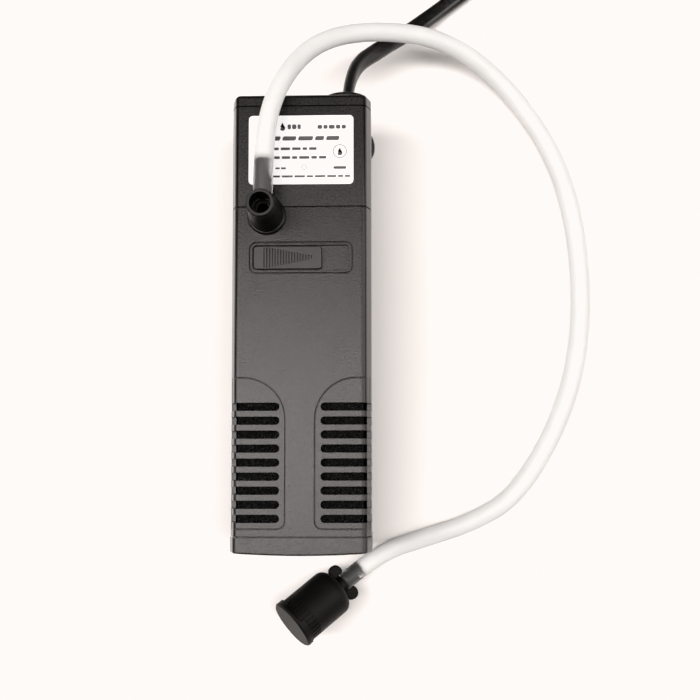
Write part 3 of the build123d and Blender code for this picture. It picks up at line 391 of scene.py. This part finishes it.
outer_points, outer_faces = swept(hose_path, hose_places, lambda s: hose_ring(HOSE_R, s), closed_ends=False)
inner_points, inner_faces = swept(hose_path, hose_places, lambda s: hose_ring(HOSE_BORE_R, s), closed_ends=False)
offset = len(outer_points)
hose_faces = outer_faces + [tuple(i + offset for i in reversed(face)) for face in inner_faces]
for start, flip in ((0, False), ((len(hose_places) - 1) * HOSE_RING, True)):
    for j in range(HOSE_RING):
        k = (j + 1) % HOSE_RING
        lid = (start + j, start + offset + j, start + offset + k, start + k)
        hose_faces.append(tuple(reversed(lid)) if flip else lid)
air_hose = piece(
    "air_hose", (outer_points + inner_points, hose_faces), hose_look, stands_for=["air_tube"]
)
snug = air_hose.data.attributes.new("snug", "FLOAT", "POINT")
snug.data.foreach_set("value", [hose_grip(s) for s in hose_places for _ in range(HOSE_RING)] * 2)

# ---------------------------------------------------------------- mains lead
LEAD_WIDE, LEAD_THICK = 5.7, 3.5
LEAD_RUN = [
    (14.5, 66.0, 31.6),
    (13.5, 83.0, 26.5),
    (26.0, 95.0, 17.0),
    (32.5, 102.0, 8.5),
    (44.5, 113.0, 2.1),
    (61.5, 125.5, 2.2),
    (69.5, 145.0, 2.9),
    (71.5, 163.0, 2.9),
]
COIL_AT, COIL_TURN_R, COIL_PITCH, COIL_TURNS = (34.0, 163.0), 37.3, 5.9, 3
COIL_LAYERS = (2.9, 8.75)
COIL_STEPS = 16
LEAD_TAIL = [(71.0, 168.5, 12.0), (65.0, 181.0, 16.4), (52.5, 185.0, 18.6), (40.5, 181.4, 18.6)]


def coil_point(angle, radius, z):
    return (COIL_AT[0] + radius * math.cos(angle), COIL_AT[1] + radius * math.sin(angle), z)


coil_route = []
step_angle = 2 * math.pi / COIL_STEPS
for i in range(1, COIL_STEPS * COIL_TURNS + 1):
    coil_route.append(coil_point(i * step_angle, COIL_TURN_R - COIL_PITCH * i / COIL_STEPS, COIL_LAYERS[0]))
inner_turn_r = COIL_TURN_R - COIL_PITCH * COIL_TURNS
climb = COIL_STEPS // 4
for i in range(1, climb + 1):
    rise = (COIL_LAYERS[1] - COIL_LAYERS[0]) * smoothstep(i / climb, 0, 1)
    coil_route.append(coil_point(i * step_angle, inner_turn_r, COIL_LAYERS[0] + rise))
last = COIL_STEPS * COIL_TURNS - climb - 1
for i in range(1, last + 1):
    radius = inner_turn_r + (COIL_TURN_R - inner_turn_r) * i / last
    coil_route.append(coil_point((climb + i) * step_angle, radius, COIL_LAYERS[1]))

lead_route = LEAD_RUN + coil_route + LEAD_TAIL
lead_path, lead_along = read_path("lead_guide", lead_route, 12)
lead_path, lead_places = even(lead_path, lead_along, 1.3 * MM)
LEAD_LENGTH = lead_places[-1] / MM
SECTION_STEPS = 7


def lead_section(place):
    """The flat lead's section, turned on edge at the exit and in the coil, and flat between."""
    s = place / MM
    on_edge = 1 - smoothstep(s, 10, 44) + smoothstep(s, 84, 118) - smoothstep(s, LEAD_LENGTH - 48, LEAD_LENGTH - 12)
    turned = math.radians(90 * on_edge)
    half = (LEAD_WIDE - LEAD_THICK) / 2
    section = []
    for side in (1, -1):
        for i in range(SECTION_STEPS):
            a = math.radians(-90 + 180 * i / (SECTION_STEPS - 1)) + (0 if side == 1 else math.pi)
            section.append((side * half + LEAD_THICK / 2 * math.cos(a), LEAD_THICK / 2 * math.sin(a)))
        section.append((0, side * (LEAD_THICK / 2 - 0.12)))
    c, s = math.cos(turned), math.sin(turned)
    return [((x * c - y * s) * MM, (x * s + y * c) * MM) for x, y in section]


lead_look = Look("lead_sheath", Roughness=0.36, Specular_IOR_Level=0.55)
lead_mark = lead_look.noise(1.2 * MM, detail=4.0)
lead_look.set("Base Color", lead_look.ramp(lead_mark.outputs["Fac"], (0.3, grey(0.004)), (0.7, grey(0.008))))
lead_look.set("Roughness", lead_look.remap(lead_mark.outputs["Fac"], 0.3, 0.7, 0.28, 0.44))
lead_look.set("Normal", lead_look.bump(lead_mark.outputs["Fac"], 0.015 * MM))
power_lead = piece(
    "power_lead",
    swept(lead_path, lead_places, lead_section),
    lead_look,
    stands_for=["power_cord_run", "power_cord_coil", "power_cord_tail"],
)

# ---------------------------------------------------------------- plug, its strain relief and the coil's tie
plug_start = Vector(LEAD_TAIL[-1]) * MM
plug_way = (Vector(LEAD_TAIL[-1]) - Vector(LEAD_TAIL[-2])).normalized()
plug_side = Vector((plug_way.y, -plug_way.x, 0)).normalized()
plug_up = plug_side.cross(plug_way)
if plug_up.z < 0:
    plug_up = -plug_up


def plug_point(along, side, up):
    return plug_start + (plug_way * along + plug_side * side + plug_up * up) * MM


def rounded_section(wide, tall, radius, steps=5):
    """Corner points of a rounded rectangle, counter-clockwise, as (across, up) pairs."""
    section = []
    for cx, cy, start in ((1, 1, 0), (-1, 1, 90), (-1, -1, 180), (1, -1, 270)):
        for i in range(steps):
            a = math.radians(start + 90 * i / (steps - 1))
            x, y = cx * (wide / 2 - radius), cy * (tall / 2 - radius)
            section.append((x + radius * math.cos(a), y + radius * math.sin(a)))
    return section


def lofted(stations, place, section):
    """Joins a section per station into one closed skin. place(station, x, y) gives a point."""
    points, faces = [], []
    for station in stations:
        points += [place(station, x, y) for x, y in section(station)]
    size = len(points) // len(stations)
    for i in range(len(stations) - 1):
        for j in range(size):
            k = (j + 1) % size
            faces.append((i * size + j, i * size + k, (i + 1) * size + k, (i + 1) * size + j))
    faces.append(tuple(reversed(range(size))))
    faces.append(tuple(range(len(points) - size, len(points))))
    return points, faces


def mesh_from(points, faces):
    built = bmesh.new()
    corners = [built.verts.new(p) for p in points]
    for face in faces:
        built.faces.new([corners[i] for i in face])
    return built


# along, wide, tall, corner radius
PLUG_STATIONS = [
    (10.0, 10.6, 9.2, 3.6),
    (11.0, 12.2, 10.2, 4.0),
    (15.0, 15.8, 11.0, 4.3),
    (20.0, 21.0, 11.6, 4.6),
    (26.0, 27.5, 12.2, 4.9),
    (33.0, 32.6, 12.7, 5.1),
    (39.0, 34.8, 12.9, 5.2),
    (42.6, 35.2, 13.0, 5.2),
    (43.6, 34.4, 12.2, 4.9),
    (44.0, 32.8, 10.6, 4.4),
]
plug_look = moulded("plug_plastic", 0.016, 0.30, 0.008, 0.40, soft_edge=0.3)
plug_skin = piece(
    "plug_moulding",
    mesh_from(
        *lofted(
            PLUG_STATIONS,
            lambda station, x, y: plug_point(station[0], x, y),
            lambda station: rounded_section(*station[1:]),
        )
    ),
    plug_look,
    stands_for=["plug_body"],
)

relief_stations = []
for ring in range(7):
    start = ring * 1.42
    radius = 3.35 + 0.85 * ring / 6
    relief_stations += [(start, radius - 0.55), (start + 0.15, radius), (start + 0.85, radius + 0.05)]
    relief_stations += [(start + 1.0, radius - 0.5)]
relief_stations.append((10.4, 4.0))
plug_relief = piece(
    "plug_relief",
    mesh_from(
        *lofted(
            relief_stations,
            lambda station, x, y: plug_point(station[0], x, y),
            lambda station: [
                (station[1] * 1.0 * math.cos(a), station[1] * 0.9 * math.sin(a))
                for a in np.linspace(0, 2 * math.pi, 28, endpoint=False)
            ],
        )
    ),
    plug_look,
    stands_for=["plug_strain_relief"],
)
dress(plug_look, "plug_pin_sleeves")

TIE_ANGLE = math.radians(250)
tie_out = Vector((math.cos(TIE_ANGLE), math.sin(TIE_ANGLE), 0))
tie_way = Vector((-tie_out.y, tie_out.x, 0))
tie_middle = Vector((*COIL_AT, 5.85)) + tie_out * (COIL_TURN_R - COIL_PITCH * COIL_TURNS / 2)
TIE_HALF_WIDE, TIE_HALF_TALL = 12.2, 5.75


def tie_at(across, along, up):
    return (tie_middle + tie_out * across + tie_way * along + Vector((0, 0, up))) * MM


tie_loop = rounded_section(2 * TIE_HALF_WIDE, 2 * TIE_HALF_TALL, 2.4, steps=7)
tie_inner = rounded_section(2 * TIE_HALF_WIDE - 0.8, 2 * TIE_HALF_TALL - 0.8, 2.0, steps=7)
tie_mesh = bmesh.new()
for ring_points in (tie_loop, tie_inner):
    for edge in (-1, 1):
        for x, y in ring_points:
            # the strap's edges curl in a little and it creases between the turns
            pinch = 0.12 * math.sin(x * 1.1)
            tie_mesh.verts.new(tie_at(x, edge * 3.8, y + pinch * (1 if y > 0 else 0)))
tie_mesh.verts.ensure_lookup_table()
size = len(tie_loop)
for j in range(size):
    k = (j + 1) % size
    a, b, c, d = 0, size, 2 * size, 3 * size
    for one, two in ((a, b), (d, c), (b, d), (c, a)):
        tie_mesh.faces.new([tie_mesh.verts[i] for i in (one + j, one + k, two + k, two + j)])
bmesh.ops.subdivide_edges(
    tie_mesh, edges=[e for e in tie_mesh.edges if (e.verts[0].co - e.verts[1].co).length > 0.003], cuts=6
)
tie_look = moulded("strap", 0.022, 0.55, 0.03, 0.35)
lead_tie = piece("lead_strap", tie_mesh, tie_look, stands_for=["cord_tie"])

# ---------------------------------------------------------------- filter foam behind the slots
foam_low, foam_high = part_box("filter_sponge")
FOAM_CELL = 0.75 * MM
FOAM_ROUGH = 0.42 * MM
foam = bmesh.new()
bmesh.ops.create_cube(foam, size=1.0)
spans = foam_high - foam_low
middle = (foam_high + foam_low) / 2
for vertex in foam.verts:
    vertex.co = middle + Vector([vertex.co[i] * (spans[i] - 2 * FOAM_ROUGH) for i in range(3)])
for axis in range(3):
    for place in np.arange(foam_low[axis] + 0.3 * MM, foam_high[axis], 0.42 * MM if axis != 2 else 0.8 * MM):
        normal = Vector([1 if i == axis else 0 for i in range(3)])
        geometry = foam.verts[:] + foam.edges[:] + foam.faces[:]
        bmesh.ops.bisect_plane(foam, geom=geometry, plane_co=normal * place, plane_no=normal)
for vertex in foam.verts:
    distance, _ = noise.voronoi(vertex.co / FOAM_CELL)
    pit = min(1.0, distance[1] - distance[0])
    outward = Vector([0.0, 0.0, 0.0])
    for axis in range(3):
        half = spans[axis] / 2 - FOAM_ROUGH
        share = (vertex.co[axis] - middle[axis]) / half
        if abs(share) > 0.999:
            outward[axis] = math.copysign(1, share)
    if outward.length:
        vertex.co += outward.normalized() * FOAM_ROUGH * (0.9 - 1.9 * pit)

foam_look = Look("foam", Roughness=0.6, Specular_IOR_Level=0.1)
foam_cells = foam_look.add("TexVoronoi", Vector=foam_look.coords, Scale=1 / (0.45 * MM))
foam_painted_glints = foam_look.noise(0.22 * MM, detail=2.0)
# the bright specks in the foam's colour are painted glints, standing in for light catching the cells; the foam itself
# is near black
foam_look.set(
    "Base Color",
    foam_look.ramp(
        foam_painted_glints.outputs["Fac"], (0.45, grey(0.003)), (0.62, grey(0.006)), (0.70, grey(0.05)), (0.76, grey(0.25))
    ),
)
foam_look.set("Normal", foam_look.bump(foam_cells.outputs["Distance"], 0.25 * MM))
foam_block = piece("filter_foam", foam, foam_look, stands_for=["filter_sponge"], smooth=False)

# ---------------------------------------------------------------- label print, bars and a drop in the place of words
label_low, label_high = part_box("rating_label")
PRINT_THICK = 0.03
printed = bmesh.new()


def print_shape(outline):
    """Adds a flat printed shape, its outline in millimetres from the label's lower left corner."""
    low = [printed.verts.new((label_low.x + x * MM, label_low.y + y * MM, label_high.z)) for x, y in outline]
    top = [printed.verts.new(v.co + Vector((0, 0, PRINT_THICK * MM))) for v in low]
    printed.faces.new(top)
    printed.faces.new(list(reversed(low)))
    for j in range(len(low)):
        k = (j + 1) % len(low)
        printed.faces.new((low[j], low[k], top[k], top[j]))


def print_bar(x, y, wide, tall, slant=0.0):
    section = rounded_section(wide, tall, min(wide, tall) * 0.3, steps=3)
    print_shape([(x + wide / 2 + px + slant * py, y + py) for px, py in section])


def print_ring(cx, cy, outer, inner, steps=24):
    for i in range(steps):
        a, b = 2 * math.pi * i / steps, 2 * math.pi * (i + 1) / steps
        print_shape(
            [
                (cx + outer * math.cos(a), cy + outer * math.sin(a)),
                (cx + outer * math.cos(b), cy + outer * math.sin(b)),
                (cx + inner * math.cos(b), cy + inner * math.sin(b)),
                (cx + inner * math.cos(a), cy + inner * math.sin(a)),
            ]
        )


def print_row(y, start, end, tall, widths, gap, slant=0.0):
    """A row of bars from start to end, their widths drawn from a fixed seed."""
    dice = random.Random(round(y * 10))
    x = start
    while x < end - widths[0]:
        wide = min(dice.uniform(*widths), end - x)
        print_bar(x, y, wide, tall, slant)
        x += wide + gap


def print_drop(cx, cy, radius):
    outline = []
    for i in range(28):
        a = math.radians(-60 + 300 * i / 27)
        outline.append((cx + radius * math.cos(a - math.radians(90)), cy + radius * math.sin(a - math.radians(90))))
    outline.append((cx, cy + radius * 2.1))
    print_shape(outline)


print_drop(10.6, 17.9, 0.85)
print_row(18.3, 12.2, 16.6, 1.5, (1.0, 1.5), 0.35)
print_row(18.2, 21.6, 31.2, 1.25, (1.1, 1.9), 0.4)
print_row(14.6, 7.0, 31.0, 1.35, (2.6, 5.2), 0.7, slant=0.25)
print_row(11.3, 8.0, 22.6, 0.85, (1.4, 3.2), 0.6)
print_row(8.5, 8.0, 24.4, 0.85, (1.4, 3.4), 0.6)
print_row(5.1, 8.4, 12.0, 0.55, (1.2, 1.9), 0.4)
print_row(2.5, 7.6, 31.8, 0.62, (1.5, 3.6), 0.55)
print_ring(28.6, 10.4, 2.2, 1.98)
print_drop(28.6, 9.9, 0.8)
print_bar(26.6, 5.2, 4.0, 0.85)
print_ring(17.4, 5.4, 0.85, 0.72, 16)
piece("label_print", printed, print_look, smooth=False)

# ---------------------------------------------------------------- floor and light
FLOOR_HALF = 3.0
floor_mesh = bpy.data.meshes.new("floor")
floor_mesh.from_pydata(
    [(x * FLOOR_HALF, y * FLOOR_HALF, 0) for x, y in ((-1, -1), (1, -1), (1, 1), (-1, 1))], [], [(0, 1, 2, 3)]
)
floor = bpy.data.objects.new("floor", floor_mesh)
scene.collection.objects.link(floor)
floor_look = Look("paper", Roughness=0.8, Specular_IOR_Level=0.2)
paper = floor_look.noise(0.02, detail=3.0)
floor_look.set(
    "Base Color", floor_look.ramp(paper.outputs["Fac"], (0.3, (0.875, 0.850, 0.835)), (0.7, (0.885, 0.862, 0.848)))
)
floor_mesh.materials.append(floor_look.material)


LIGHT_TINT = (1.0, 0.957, 0.932)
LIGHT_AWAY = 6.0
FLOOR_EXPOSURE = 1.42
FLOOR_TONE = 0.86
ROOM_LIGHT = 0.04


def softbox(name, lean, reach, share):
    """An area light, with its lean from overhead and its half size in degrees, and its share of the light."""
    way = Vector((math.tan(math.radians(lean[0])), math.tan(math.radians(lean[1])), 1)).normalized()
    lamp = bpy.data.lights.new(name, "AREA")
    lamp.shape = "RECTANGLE"
    lamp.size, lamp.size_y = (2 * LIGHT_AWAY * math.tan(math.radians(half)) for half in reach)
    lamp.energy = share * FLOOR_EXPOSURE / FLOOR_TONE * math.pi**2 * LIGHT_AWAY**2 / way.z
    lamp.color = LIGHT_TINT
    made = bpy.data.objects.new(name, lamp)
    scene.collection.objects.link(made)
    made.location = way * LIGHT_AWAY
    made.rotation_euler = way.to_track_quat("Z", "Y").to_euler()
    made.visible_camera = False


softbox("key", (-15, 0), (6.5, 34), 0.43)
softbox("wide_key", (-31, 0), (10, 34), 0.38)
softbox("overhead", (-4, 0), (4, 34), 0.05)
softbox("fill", (46, 0), (16, 34), 0.33)
world = bpy.data.worlds.new("studio")
scene.world = world
world.use_nodes = True
# the room is dark round the lights, and only the camera sees the bright backdrop
background = world.node_tree.nodes["Background"]
background.inputs["Color"].default_value = (*LIGHT_TINT, 1)
seen = world.node_tree.nodes.new("ShaderNodeLightPath")
level = world.node_tree.nodes.new("ShaderNodeMapRange")
level.inputs["To Min"].default_value, level.inputs["To Max"].default_value = ROOM_LIGHT, 1.0
world.node_tree.links.new(seen.outputs["Is Camera Ray"], level.inputs["Value"])
world.node_tree.links.new(level.outputs["Result"], background.inputs["Strength"])

# the deepest blacks are pulled down a little, as a camera does
CURVE_TOE = [(0.012, 0.006), (0.04, 0.029), (0.1, 0.095), (0.3, 0.3), (0.6, 0.6)]
scene.view_settings.use_curve_mapping = True
curves = scene.view_settings.curve_mapping
curves.extend = "HORIZONTAL"
for channel, top in zip(curves.curves, (0.991, 0.957, 0.932)):
    channel.points[-1].location = (top, top)
    for place, level in CURVE_TOE:
        channel.points.new(place, level)
curves.update()
